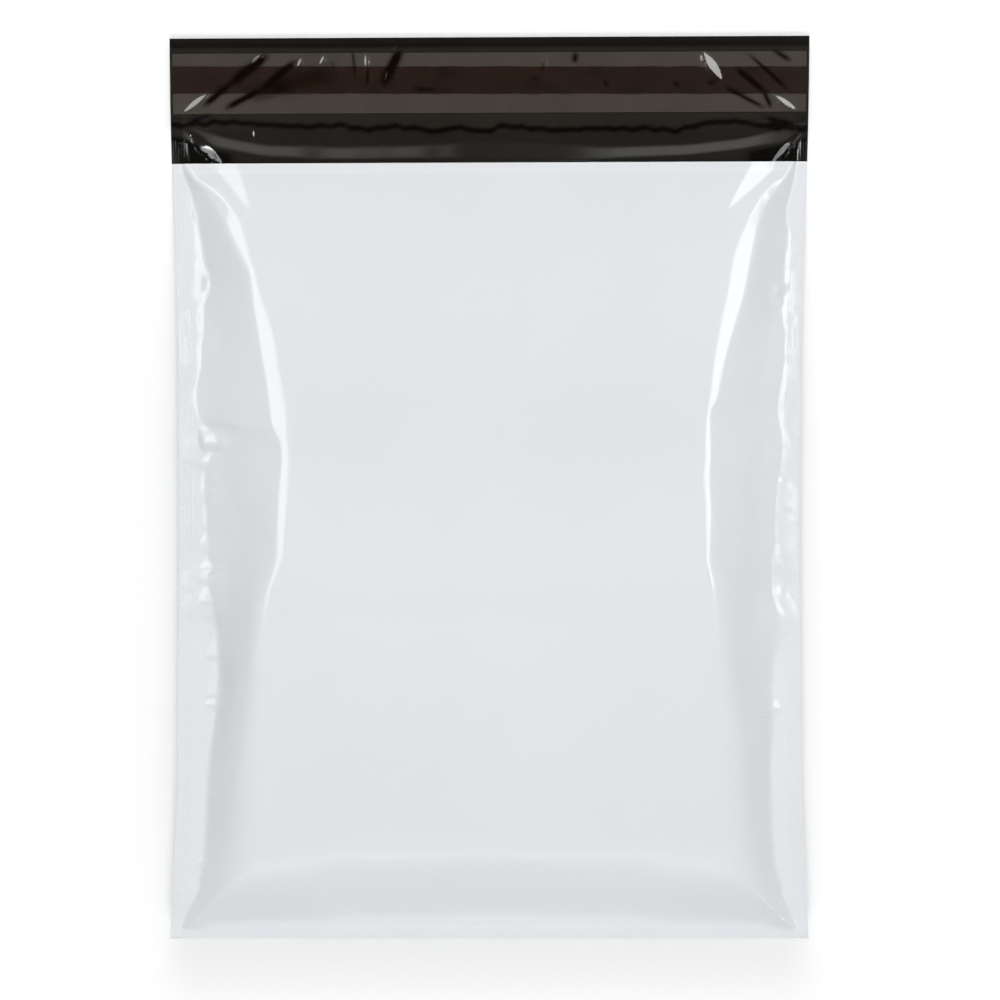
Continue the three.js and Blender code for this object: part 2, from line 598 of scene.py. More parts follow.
# Creases of the flap; the materials paint shade in them. The first two, wide and shallow, mark where the
# wet glue shows darker through the liner.
FLAP_GROOVES = (
    Crease((-92.0, 29.0), (-56.0, 36.5), 4.2, -0.17),
    Crease((-98.0, 24.5), (-78.0, 32.0), 2.6, -0.17),
    Crease((-115.7, 21.6), (-101.0, 33.4), 1.2, -0.4),
    Crease((-105.0, 30.2), (-86.3, 44.8), 1.7, -0.5),
    Crease((-107.4, 20.7), (-89.8, 30.1), 1.2, -0.4),
    Crease((-93.0, 27.7), (-75.1, 42.3), 1.3, -0.45),
    Crease((-54.8, 47.6), (-53.2, 32.1), 0.6, -0.25),
    Crease((-48.4, 38.8), (-48.8, 30.0), 0.6, -0.25),
    Crease((-43.6, 28.8), (-34.1, 47.8), 1.8, -0.5),
    Crease((20.9, 35.2), (21.7, 40.4), 0.5, -0.2),
    Crease((34.5, 44.2), (33.7, 38.7), 1.2, -0.3),
    Crease((44.8, 32.2), (48.0, 30.1), 0.8, -0.25),
    Crease((73.1, 31.9), (76.3, 29.4), 0.8, -0.25),
    Crease((86.3, 31.7), (90.6, 30.9), 0.8, -0.25),
    Crease((17.3, 34.5), (18.9, 32.1), 0.8, -0.2),
    Crease((101.0, 44.7), (121.3, 26.2), 0.7, -0.35),
    Crease((96.6, 38.4), (111.4, 26.3), 1.1, -0.4),
    Crease((109.0, 28.7), (112.9, 20.3), 0.9, -0.35),
    Crease((91.4, 30.9), (112.2, 19.9), 0.8, -0.35),
    Crease((111.4, 45.4), (121.3, 38.9), 1.0, -0.3),
    Crease((106.6, 18.3), (124.1, 14.6), 1.0, -0.35),
    Crease((109.4, 16.3), (124.1, 12.6), 0.8, -0.3),
    Crease((-121.3, 17.3), (-108.6, 19.5), 0.9, -0.3),
    Crease((-31.7, 29.8), (-19.7, 28.5), 0.9, -0.2),
    Crease((-63.5, 41.3), (-61.2, 37.3), 0.5, -0.12),
    Crease((-127.5, 46.6), (127.5, 46.6), 0.5, -0.12, 0.01),
)


@dataclass(frozen=True)
class Glint(FilmMark):
    """A lens-shaped facet of creased film that tilts to the left of the way from its start to its end."""

    half_width: float
    slope: float
    fall: float = 0.8

    def rise(self, x: Array, up: Array) -> Array:
        """Height that the facet adds at places on the film.

        Args:
            x: Places across the bag.
            up: Places along it from the lip.

        Returns:
            Heights in millimetres.
        """
        length, along, across = self.measure(x, up)
        half = self.half_width * np.sin(math.pi * np.clip(along / length, 0.0, 1.0))
        back = 1.0 - ease((-half - across) / self.fall)
        return self.slope * np.clip(half - across, 0.0, 2.0 * half) * back


FLAP_GLINTS = (
    Glint((-122.1, 20.5), (-111.0, 28.7), 1.2, 0.22),
    Glint((83.9, 44.9), (93.0, 32.0), 2.0, 0.183),
    Glint((110.6, 27.9), (122.9, 20.2), 1.2, 0.243),
    Glint((111.0, -2.2), (124.1, 12.6), 1.4, 0.339),
    Glint((124.1, 12.6), (122.1, -1.9), 0.7, 0.131),
    Glint((-121.3, 14.1), (-104.8, -1.4), 2.0, 0.363),
    Glint((-119.1, -1.4), (-121.7, 14.5), 0.8, 0.135),
    Glint((-93.0, 8.6), (-93.8, 14.6), 1.0, 0.15),
    Glint((-49.2, 36.8), (-49.2, 44.4), 0.8, 0.177),
    Glint((-37.6, 43.0), (-35.3, 49.8), 1.1, 0.197),
    Glint((-42.0, 31.1), (-40.0, 38.7), 0.6, 0.19),
    Glint((-95.0, 39.7), (-89.8, 44.0), 0.9, 0.221),
    Glint((-76.7, 37.9), (-74.3, 42.7), 0.7, 0.18),
    Glint((-67.9, 38.6), (-65.1, 43.7), 0.7, 0.19),
    Glint((22.9, 42.4), (22.1, 36.0), 0.5, 0.196),
)


@dataclass(frozen=True)
class Facet(FilmMark):
    """A flat triangle of film along a straight fold, tilted down on the fold's outer side."""

    width: float
    slope: float

    def drop(self, x: Array, up: Array) -> Array:
        """How far the film beyond the fold lies lower.

        Args:
            x: Places across the bag.
            up: Places along it from the lip.

        Returns:
            Depths in millimetres.
        """
        length, along, across = self.measure(x, up)
        reach = self.width * np.clip(1.0 - along / length, 0.0, 1.0)
        return self.slope * np.clip(across * (-1.0 if self.start[0] < 0.0 else 1.0), 0.0, reach)


FRONT_FACETS = (
    Facet((-100.5, 0.0), (-94.5, -19.5), 9.0, 0.13),
    Facet((104.5, 0.0), (94.0, -20.0), 9.0, 0.13),
)
FRONT_CREASES = (
    Crease((109.0, -106.5), (97.5, -129.0), 3.5, 0.4),
    Crease((-99.0, -125.0), (-99.5, -140.0), 3.0, 0.3),
    Crease((-105.0, -133.0), (-103.0, -150.0), 3.0, 0.3),
    Crease((115.4, -47.6), (115.4, -54.4), 1.9, 1.0, 0.5),
)


def on_line(line: Line, y: Array, blur: float = 0.8) -> Array:
    """Values of a measured line at places along the bag, with its corners rounded off.

    Args:
        line: Pairs of a place and a value.
        y: Places from the bottom fold.
        blur: How far the rounding reaches.

    Returns:
        The values.
    """
    knots = np.transpose(line)
    spread_out = [np.interp(y + shift * blur, *knots) for shift in (-1.0, 0.0, 0.0, 1.0)]
    return np.mean(spread_out, axis=0)


def under_line(line: Line, y: Array, reach: float = 9.0, count: int = 13) -> Array:
    """Values of a calm line that stays under a measured one.

    Args:
        line: Pairs of a place and a value.
        y: Places from the bottom fold.
        reach: How far the calming reaches.
        count: How many places it looks at.

    Returns:
        The values.
    """
    knots = np.transpose(line)
    shifts = np.linspace(-reach, reach, count)
    least = [np.min([np.interp(y + shift + near, *knots) for near in shifts], axis=0) for shift in shifts]
    return np.mean(least, axis=0)


def ripples(
    x: Array, y: Array, slope: float, waves: Pair, count: int = 26, seed: int = 7
) -> Array:
    """Heights of a small irregular waviness in film.

    Args:
        x: Places across the bag.
        y: Places along it.
        slope: Typical slope of the waves.
        waves: Shortest and longest wave.
        count: How many plain waves are added up.
        seed: Fixes the pattern.

    Returns:
        Heights, zero on average.
    """
    chance = np.random.default_rng(seed)
    total = np.zeros_like(x)
    for _ in range(count):
        turn, phase = chance.uniform(0.0, 2.0 * math.pi, 2)
        wave = chance.uniform(*waves) / (2.0 * math.pi)
        total += wave * np.cos((x * math.cos(turn) + y * math.sin(turn)) / wave + phase)
    return total * slope / math.sqrt(count / 2.0)


@dataclass(frozen=True)
class FlapMarks:
    """Folds of the open flap: creases, a wavy fold below the liner and a terrace behind the lip.

    Places are millimetres from the bag's middle line and up from the front lip.
    """

    fold: Line = (
        (-126.5, 15.7), (-109.4, 16.3), (-91.4, 15.7), (-75.5, 14.8), (-59.6, 15.0), (-49.6, 13.3),
        (-39.6, 14.8), (-19.7, 12.6), (-14.9, 14.5), (-0.6, 12.0), (4.2, 14.7), (22.1, 13.3), (44.0, 13.1),
        (63.9, 13.6), (72.7, 12.3), (85.9, 15.4), (99.8, 16.0), (111.8, 13.5), (126.9, 13.7),
    )
    fold_width: float = 1.45
    fold_raggedness: float = 0.3
    fold_waves: Pair = (3.0, 9.0)
    fold_depth: float = 0.1
    terrace: Line = (
        (-126.5, 14.3), (-121.7, 13.5), (-113.3, 10.2), (-105.0, 8.1), (-89.8, 5.2), (-59.6, 4.0),
        (-27.7, 4.5), (0.2, 5.0), (28.1, 3.9), (44.8, 3.7), (79.9, 4.9), (99.8, 7.1), (114.9, 10.1),
        (123.7, 12.4), (126.9, 12.7),
    )
    terrace_height: float = 2.4
    terrace_shifts: tuple[float, ...] = (-0.15, -0.05, 0.05, 0.15)
    terrace_run: Line = (
        (-126.5, 9.2), (-116.0, 7.7), (-108.0, 5.1), (-77.5, 5.1), (-70.7, 7.2), (-63.5, 5.3), (-53.6, 5.3),
        (-50.8, 6.3), (-46.8, 5.5), (-42.0, 6.3), (-35.7, 5.5), (-27.7, 5.7), (-22.5, 8.2), (-16.9, 5.9),
        (-9.8, 10.7), (28.1, 9.7), (40.0, 6.2), (52.0, 4.7), (83.9, 4.4), (105.0, 4.6), (115.0, 6.7),
        (126.9, 8.7),
    )
    groove_share: float = 0.1
    groove_full: float = 0.3
    groove_dimming: float = 0.9
    corner_from: float = 99.0
    corner_run: float = 6.0
    corner_drop: float = 2.5
    corner_dimming: float = 0.86
    edge_soft: float = 2.0
    # Tone bands by distance from the lip: the film's own tone, with painted sheen and shade in its lighter
    # and darker bands.
    tone: Line = (
        (0.0, 0.5), (6.0, 0.5), (9.0, 0.42), (12.5, 0.42), (15.0, 0.65), (40.0, 0.65), (45.8, 0.62),
        (46.4, 0.15), (50.0, 0.25),
    )
    weld_from: float = 121.5
    weld_soft: float = 1.5
    weld_top: float = 20.0
    weld_dimming: float = 0.5

    def wave(self, x: Array, up: Array) -> Array:
        """Share of the wavy fold's depth at places on the flap."""
        ragged = ripples(x, np.zeros_like(x), self.fold_raggedness, self.fold_waves, count=14, seed=3)
        return np.exp(-(((up - on_line(self.fold, x, blur=1.0) - ragged) / self.fold_width) ** 4))

    def rise(self, x: Array, up: Array) -> Array:
        """Height that the folds add at places on the flap.

        Args:
            x: Places across the bag.
            up: Places along it from the lip.

        Returns:
            Heights in millimetres.
        """
        past = (up - on_line(self.terrace, x, blur=3.0)) / on_line(self.terrace_run, x, blur=2.0) + 0.5
        step = np.mean([np.clip(past + shift, 0.0, 1.0) for shift in self.terrace_shifts], axis=0)
        folds = sum(glint.rise(x, up) for glint in FLAP_GLINTS)
        folds += self.groove_share * sum(groove.rise(x, up) for groove in FLAP_GROOVES)
        return self.terrace_height * step + folds - self.fold_depth * self.wave(x, up)

    def painted_shade_and_wet_glue(self, x: Array, up: Array) -> Array:
        """Painted shade of grooves and the wavy fold, with darker wet-glue patches, from 0 to 1."""
        grooves = sum(np.clip(-groove.rise(x, up) / self.groove_full, 0.0, 1.0) for groove in FLAP_GROOVES)
        return np.clip(grooves + self.wave(x, up), 0.0, 1.0)

    def film_tone(self, x: Array, up: Array) -> Array:
        """Tone of the black film, with painted shade in grooves, the wavy fold and the lower corners.

        Args:
            x: Places across the bag.
            up: Places along it from the lip.

        Returns:
            Tones, from 0 in a groove to 1 where the film is greyest.
        """
        weld = ease((np.abs(x) - self.weld_from) / self.weld_soft)
        weld *= ease((self.weld_top - up) / self.edge_soft)
        # Painted shade at the lower corners dims the film and the glints on it.
        corner = ease((np.abs(x) - self.corner_from) / self.corner_run)
        corner *= ease((on_line(self.terrace, x, blur=3.0) - self.corner_drop - up) / self.edge_soft)
        # Painted shade in grooves and the wavy fold.
        dimmed = 1.0 - self.groove_dimming * self.painted_shade_and_wet_glue(x, up)
        dimmed *= 1.0 - self.weld_dimming * weld
        dimmed *= 1.0 - self.corner_dimming * corner
        return on_line(self.tone, up, blur=0.2) * dimmed


@dataclass(frozen=True)
class SideLines:
    """Fold lines beside one weld: pairs of a place along the bag and a distance in from the film's edge.

    Places are millimetres from the bottom fold. The leaves part at the margin, tucks stand just outside it,
    the film bends over the filling at the shoulder, and a facet lies just inside that. The weld's tilts are
    slopes.
    """

    margin: Line
    tuck: Line
    shoulder: Line
    facet: Line
    steepest: Line
    weld_tilt: Line


LEFT_LINES = SideLines(
    margin=(
        (0.0, 2.4), (4.0, 3.5), (7.5, 5.5), (15.0, 9.5), (19.0, 11.0), (23.0, 11.5), (27.0, 11.0),
        (35.0, 10.0), (55.0, 9.5), (63.0, 10.5), (71.0, 11.5), (79.0, 12.0), (83.0, 13.0), (87.0, 14.0),
        (92.5, 15.0), (111.0, 14.5), (119.0, 14.0), (135.0, 14.0), (141.0, 12.0), (144.5, 10.0),
        (146.0, 13.5), (148.0, 14.5), (152.5, 12.0), (155.0, 10.5), (175.0, 10.8), (180.5, 9.3),
        (186.0, 10.5), (190.5, 12.5), (195.5, 15.5), (197.0, 16.4), (199.5, 16.4), (202.0, 15.3),
        (203.5, 13.4), (205.0, 10.6), (210.5, 8.2), (216.0, 6.4), (222.5, 8.4), (228.0, 10.0),
        (250.0, 10.4), (254.5, 12.0), (258.5, 14.2), (262.0, 14.8), (266.0, 13.7), (270.0, 12.0),
        (290.0, 10.2), (294.0, 8.8), (302.0, 5.1), (309.0, 3.0),
    ),
    tuck=(
        (22.5, 0.0), (23.0, 3.2), (26.5, 0.0), (28.0, 0.0), (28.5, 3.0), (31.5, 0.0), (91.5, 0.0),
        (92.0, 6.5), (96.0, 3.0), (96.4, 5.0), (111.0, 0.8), (111.5, 5.0), (122.0, 0.8), (133.2, 0.5),
        (133.6, 6.5), (144.5, 0.5), (146.5, 2.0), (148.0, 6.5), (155.0, 1.3), (188.0, 1.4), (190.0, 3.0),
        (192.0, 3.0), (193.0, 0.0), (195.3, 0.0), (195.8, 8.5), (197.5, 9.0), (200.0, 7.0), (202.0, 4.0),
        (204.0, 1.0), (206.0, 1.3), (217.0, 0.9), (222.0, 1.6), (254.0, 1.6), (254.8, 6.0), (259.0, 7.2),
        (265.0, 6.0), (270.0, 4.5), (277.0, 3.2), (280.0, 2.2), (283.0, 3.5), (288.0, 4.0), (291.0, 1.5),
        (302.0, 1.2), (306.0, 0.8),
    ),
    shoulder=(
        (0.0, 14.0), (10.0, 18.0), (20.0, 23.5), (27.0, 26.5), (35.0, 27.0), (55.0, 26.0), (75.0, 26.3),
        (95.0, 28.0), (115.0, 29.3), (135.0, 33.0), (145.0, 36.5), (151.0, 38.2), (167.0, 38.7),
        (175.0, 39.2), (183.0, 39.8), (187.0, 40.5), (196.0, 40.8), (198.5, 39.6), (203.5, 37.3),
        (206.5, 36.5), (214.5, 35.7), (222.5, 34.7), (230.5, 33.1), (246.5, 30.7), (254.5, 29.7),
        (264.0, 29.0), (266.5, 28.5), (270.5, 26.4), (278.5, 22.8), (286.5, 19.7), (294.0, 15.9),
        (298.0, 13.7), (302.0, 9.4), (309.0, 5.0),
    ),
    facet=(
        (150.0, 4.0), (182.0, 4.4), (190.0, 3.6), (195.0, 3.6), (199.0, 4.4), (206.5, 7.2), (230.0, 6.6),
        (238.0, 7.2), (246.0, 6.2), (254.0, 4.6), (262.0, 3.0), (270.0, 3.6), (278.0, 5.8), (286.0, 6.5),
        (294.0, 5.0), (300.0, 2.5), (305.0, 1.5),
    ),
    steepest=(
        (43.0, 16.0), (63.0, 18.0), (95.0, 20.5), (119.0, 22.5), (151.0, 26.5), (167.0, 28.5),
        (180.0, 24.0), (200.0, 20.0), (230.0, 16.0), (270.0, 15.5), (300.0, 9.0),
    ),
    weld_tilt=(
        (125.0, 0.0), (130.0, 0.12), (145.0, 0.12), (150.0, 0.0), (186.0, 0.0), (190.0, 0.1), (198.0, 0.1),
        (202.0, 0.0), (226.0, 0.0), (231.0, 0.17), (245.0, 0.17), (252.0, 0.03), (290.0, 0.03),
    ),
)
RIGHT_LINES = SideLines(
    margin=(
        (0.0, 2.4), (3.5, 4.0), (7.5, 6.0), (11.5, 7.9), (15.5, 9.6), (19.5, 10.6), (23.5, 10.8),
        (47.0, 10.0), (71.0, 10.8), (79.0, 10.2), (87.0, 9.2), (88.5, 8.0), (90.0, 10.5), (90.7, 12.2),
        (92.6, 12.0), (95.0, 10.8), (111.0, 10.2), (115.0, 9.8), (119.0, 8.6), (122.0, 6.6), (123.7, 7.0),
        (127.0, 8.6), (131.0, 10.2), (135.0, 11.4), (137.0, 12.0), (152.5, 11.6), (155.0, 10.8),
        (159.0, 9.0), (163.0, 9.6), (167.0, 10.2), (175.0, 9.2), (182.5, 9.3), (190.5, 7.9), (194.5, 6.6),
        (196.5, 6.4), (198.5, 6.8), (206.5, 9.2), (210.5, 9.7), (218.5, 8.7), (226.5, 7.5), (230.5, 6.5),
        (236.5, 5.8), (242.5, 7.7), (246.5, 8.6), (250.5, 8.9), (254.5, 7.2), (256.5, 6.9), (259.0, 7.4),
        (263.0, 8.1), (270.5, 8.1), (278.5, 6.7), (280.5, 6.6), (286.5, 8.4), (290.5, 7.8), (294.0, 6.8),
        (302.0, 3.9), (304.0, 3.6), (309.0, 4.0),
    ),
    tuck=(
        (20.5, 0.0), (21.0, 3.2), (25.0, 0.0), (90.0, 0.0), (90.6, 6.0), (96.0, 2.0), (118.0, 1.2),
        (124.0, 0.8), (133.0, 2.0), (137.0, 4.0), (146.0, 2.2), (149.0, 2.0), (152.5, 3.6), (156.0, 0.4),
        (181.0, 0.4), (184.0, 2.2), (192.0, 2.2), (195.0, 1.0), (206.0, 1.0), (208.0, 2.5), (212.0, 2.5),
        (215.0, 1.8), (235.0, 1.8), (237.0, 1.2), (262.0, 1.6), (292.0, 2.0), (300.0, 1.4), (309.0, 0.8),
    ),
    shoulder=(
        (0.0, 14.0), (10.0, 18.0), (20.0, 23.0), (27.0, 25.5), (47.0, 25.5), (63.0, 25.0), (79.0, 25.5),
        (95.0, 28.3), (111.0, 30.6), (127.0, 31.8), (139.0, 32.5), (147.0, 34.4), (151.0, 35.1),
        (171.0, 34.5), (184.0, 35.7), (190.5, 35.0), (208.5, 35.6), (210.5, 35.4), (212.5, 34.0),
        (214.5, 32.7), (222.5, 31.1), (230.5, 29.7), (238.5, 27.4), (246.5, 25.1), (254.5, 22.9),
        (262.5, 21.4), (278.5, 19.1), (286.5, 17.6), (294.5, 14.3), (298.5, 11.7), (302.5, 8.2),
        (309.0, 5.0),
    ),
    facet=(
        (150.0, 2.6), (171.0, 3.4), (198.0, 3.0), (206.0, 2.2), (210.5, 1.6), (213.0, 3.6), (222.0, 4.4),
        (230.0, 5.0), (238.0, 5.8), (246.0, 7.0), (262.0, 7.8), (270.0, 8.2), (278.0, 7.0), (284.0, 5.2),
        (286.0, 5.0), (294.0, 4.0), (300.0, 2.5), (305.0, 1.5),
    ),
    steepest=(
        (43.0, 17.0), (79.0, 18.0), (111.0, 24.0), (135.0, 24.0), (159.0, 18.0), (175.0, 20.0),
        (200.0, 22.0), (222.0, 20.0), (250.0, 16.0), (270.0, 15.0), (290.0, 11.0), (305.0, 7.0),
    ),
    weld_tilt=(
        (120.0, 0.0), (127.0, 0.12), (135.0, 0.12), (140.0, 0.04), (150.0, 0.12), (178.0, 0.12),
        (183.0, 0.03), (218.0, 0.03), (223.0, 0.08), (262.0, 0.08), (266.0, 0.03), (300.0, 0.03),
    ),
)


@dataclass(frozen=True)
class FilledForm:
    """Heights of both leaves over the filling, lofted along the fold lines.

    Lengths are millimetres; places along the bag are from its bottom fold.
    """

    pouch: float
    height: float = 29.0
    mouth_height: float = 2.2
    mouth_run: float = 200.0
    heel_share: float = 0.8
    heel_run: float = 180.0
    seam_clear: float = 0.2
    seam_lift_at_fold: float = 16.5
    seam_lift_gain: float = -2.5
    seam_gain_run: float = 150.0
    seam_mouth_run: float = 110.0
    tuck_slope: float = 0.115
    tuck_round: float = 0.9
    tuck_shown: float = 0.5
    tuck_least: float = 2.7
    tuck_limit: float = 0.3
    tuck_fade: float = 8.0
    tuck_reach: float = 0.85
    pucker_wall: float = 2.4
    pull_limit: float = 1.1
    join_gain: float = 4.0
    weld_width: float = 5.5
    weld_soft: float = 2.0
    steep_gain: float = 0.3
    steep_width: float = 6.0
    end_steps: int = 400
    end_foot_share: float = 0.28
    hip_power: float = 3.4
    hip_inset: float = 42.0
    hip_run: float = 36.0
    end_soft: float = 0.03
    end_soft_gain: float = 0.17
    end_soft_from: float = 24.0
    end_soft_run: float = 30.0
    end_clear: float = 0.4
    end_clear_from: float = 36.0
    end_clear_run: float = 40.0
    back_run: float = 28.0
    back_soft: float = 0.2
    reach: float = 80.0
    step: float = 0.2
    least_rise: float = 0.01
    foot_round: Line = (
        (0.0, 1.5), (20.0, 3.0), (45.0, 5.0), (85.0, 6.0), (95.0, 5.5), (120.0, 4.0), (135.0, 2.0),
        (309.0, 1.4),
    )
    shoulder_round: Line = (
        (0.0, 11.0), (40.0, 9.0), (75.0, 8.0), (110.0, 6.0), (135.0, 5.0), (147.0, 3.0), (155.0, 1.0),
        (200.0, 0.6), (309.0, 0.5),
    )
    facet_slope: Line = ((140.0, 0.0), (152.0, 0.14), (309.0, 0.14))
    facet_softness: float = 0.35
    facet_limit: float = 0.6
    end_foot: Line = (
        (0.0, 0.2), (6.0, 0.7), (12.0, 2.0), (21.0, 3.8), (32.0, 4.2), (52.0, 3.7), (80.0, 3.5),
        (125.0, 3.5),
    )
    end_run: Line = (
        (0.0, 20.0), (10.0, 32.0), (17.5, 42.0), (25.0, 40.0), (44.0, 46.0), (60.0, 42.0), (80.0, 37.0),
        (125.0, 40.0),
    )

    def thickness(self, y: Array) -> Array:
        """Height of the level middle.

        Args:
            y: Places of the rows.

        Returns:
            Heights over the floor.
        """
        to_mouth = np.clip(1.0 - (self.pouch - y) / self.mouth_run, 0.0, 1.0)
        to_fold = np.clip(1.0 - y / self.heel_run, 0.0, 1.0)
        heel = 1.0 - (1.0 - self.heel_share) * to_fold**3
        return self.mouth_height + self.height * heel * (1.0 - to_mouth**3)

    def seam_lift(self, y: Array) -> Array:
        """Height at which the side welds and the bottom fold hover.

        Args:
            y: Places of the rows.

        Returns:
            Heights over the floor.
        """
        gain = self.seam_lift_gain * ease(y / self.seam_gain_run)
        from_mouth = ease((self.pouch - y) / self.seam_mouth_run)
        return self.seam_clear + from_mouth * (self.seam_lift_at_fold + gain)

    def side_rise(self, lines: SideLines, y: Array, inset: Array) -> Array:
        """Height of the front leaf over one seam.

        Args:
            lines: The side's fold lines.
            y: Places of the rows.
            inset: Distances in from the edge, one line of them for each row.

        Returns:
            Heights over the seam.
        """
        rows = y[:, None]
        run = np.arange(0.0, self.reach, self.step)[None, :]
        margin, bend = on_line(lines.margin, rows, blur=1.2), on_line(lines.shoulder, rows)
        tuck, facet = on_line(lines.tuck, rows), on_line(lines.facet, rows, blur=1.0)
        tuck = np.where(tuck > self.tuck_shown, np.maximum(tuck, self.tuck_least), tuck)
        calm_margin = under_line(lines.margin, rows)
        margin = calm_margin + self.tuck_reach * (margin - calm_margin)
        bend_half = on_line(self.shoulder_round, rows)
        foot_round = on_line(self.foot_round, rows)
        bent = ease((run - bend + bend_half) / (2.0 * bend_half))
        goal = (self.thickness(y) - self.seam_lift(y))[:, None]
        inner_edge = facet * self.facet_softness
        faces = bent * (1.0 - ease((run - bend - facet + inner_edge / 2.0) / inner_edge))
        top = np.cumsum(on_line(self.facet_slope, rows) * faces, axis=1) * self.step
        top *= np.minimum(1.0, self.facet_limit * goal / np.maximum(top[:, -1:], self.least_rise))
        from_steepest = (run - on_line(lines.steepest, rows)) / self.steep_width
        steep = 1.0 + self.steep_gain * np.exp(-(from_steepest**2))
        panel = np.cumsum(ease((run - calm_margin) / foot_round) * (1.0 - bent) * steep, axis=1)
        panel *= (goal - top[:, -1:]) / panel[:, -1:]
        full = np.take_along_axis(panel, (margin / self.step).astype(int), axis=1)
        pulled = np.minimum(full, self.pull_limit)
        join = foot_round + self.join_gain * (margin - calm_margin)
        panel = np.maximum(panel - pulled * (1.0 - ease((run - margin) / join)), 0.0)
        pucker = (full - pulled) * ease((run - calm_margin + self.pucker_wall / 2.0) / self.pucker_wall)
        panel = np.where(run > margin, panel, pucker)
        tucked = (run < margin) * ease((run - margin + tuck) / self.tuck_round + 0.5) * ease(tuck)
        past_weld = ease((run - self.weld_width + self.weld_soft / 2.0) / self.weld_soft)
        on_weld = on_line(lines.weld_tilt, rows) * (1.0 - past_weld)
        low = np.cumsum(self.tuck_slope * tucked + on_weld, axis=1) * self.step
        low *= np.minimum(1.0, self.tuck_limit * goal / np.maximum(low[:, -1:], self.least_rise))
        low *= 1.0 - ease((run - margin) / self.tuck_fade)
        rise = low + panel + top
        return np.stack([np.interp(place, run[0], line) for place, line in zip(inset, rise)])

    def end_share(self, y: Array, inset: Array) -> Array:
        """Share of its height that the front leaf has reached from the bottom fold.

        Args:
            y: Places of the rows.
            inset: Distances in from the nearer edge, rows by columns.

        Returns:
            Shares from 0 to 1, rows by columns.
        """
        run = np.linspace(0.0, 1.0, self.end_steps)
        foot = self.end_foot_share
        left_over = np.clip((1.0 - run) / (1.0 - foot), 0.0, 1.0)
        from_foot = y[:, None] - on_line(self.end_foot, inset, blur=3.0)
        past = from_foot / on_line(self.end_run, inset, blur=3.0)
        slopes = (ease(run / foot) * ease(left_over), ease(2.0 * run / foot) * left_over**self.hip_power)
        middle, corner = (np.interp(past, run, np.cumsum(slope) / np.sum(slope)) for slope in slopes)
        return middle + (corner - middle) * (1.0 - ease((inset - self.hip_inset) / self.hip_run))

    def front_height(self, y: Array, inset: Array, left: Array) -> Array:
        """Height of the front leaf.

        Args:
            y: Places of the rows.
            inset: Distances in from the nearer edge, rows by columns.
            left: Which columns are on the left side.

        Returns:
            Heights, rows by columns.
        """
        rise = np.empty_like(inset)
        rise[:, left] = self.side_rise(LEFT_LINES, y, inset[:, left])
        rise[:, ~left] = self.side_rise(RIGHT_LINES, y, inset[:, ~left])
        rows = y[:, None]
        seam = self.seam_lift(rows)
        goal = self.thickness(rows) - seam
        soft = self.end_soft + self.end_soft_gain * ease((rows - self.end_soft_from) / self.end_soft_run)
        clear = ease((rows - self.end_clear_from) / self.end_clear_run)
        end = self.end_share(y, inset) + self.end_clear * clear
        return seam + goal * soft_least(rise / goal, end, soft)

    def back_height(self, y: Array, inset: Array, left: Array) -> Array:
        """Height of the back leaf.

        Args:
            y: Places of the rows.
            inset: Distances in from the nearer edge, rows by columns.
            left: Which columns are on the left side.

        Returns:
            Heights, rows by columns.
        """
        rows = y[:, None]
        sides = (on_line(lines.margin, rows, blur=8.0) for lines in (LEFT_LINES, RIGHT_LINES))
        margin = np.where(left, *sides)
        side = ease((inset - margin) / self.back_run)
        end = ease((rows - on_line(self.end_foot, inset, blur=3.0)) / self.back_run)
        return self.seam_lift(rows) * (1.0 - soft_least(side, end, self.back_soft))


def soft_least(first: Array, second: Array, soft: Array) -> Array:
    """The lesser of two values, with a rounded change from one to the other."""
    share = np.clip(0.5 + 0.5 * (second - first) / soft, 0.0, 1.0)
    return second + (first - second) * share - soft * share * (1.0 - share) * (first + second > 0.0)


@dataclass(frozen=True)
class LeafFace:
    """A grid of points on one face of the film and their normals, with even columns beside both welds."""

    places: Array
    up: Array
    pitch: float

    def on_lines(self, values: Array, insets: tuple[float, ...]) -> Array:
        """Values of a grid on lines that run along both welds.

        Args:
            values: The grid, rows by columns.
            insets: Distances of the lines in from the edge.

        Returns:
            The values, one after another.
        """
        found = []
        for inset in insets:
            column, share = divmod(inset / self.pitch, 1.0)
            for first, second in ((int(column), int(column) + 1), (-1 - int(column), -2 - int(column))):
                found.append(values[:, first] * (1.0 - share) + values[:, second] * share)
        return np.concatenate(found)


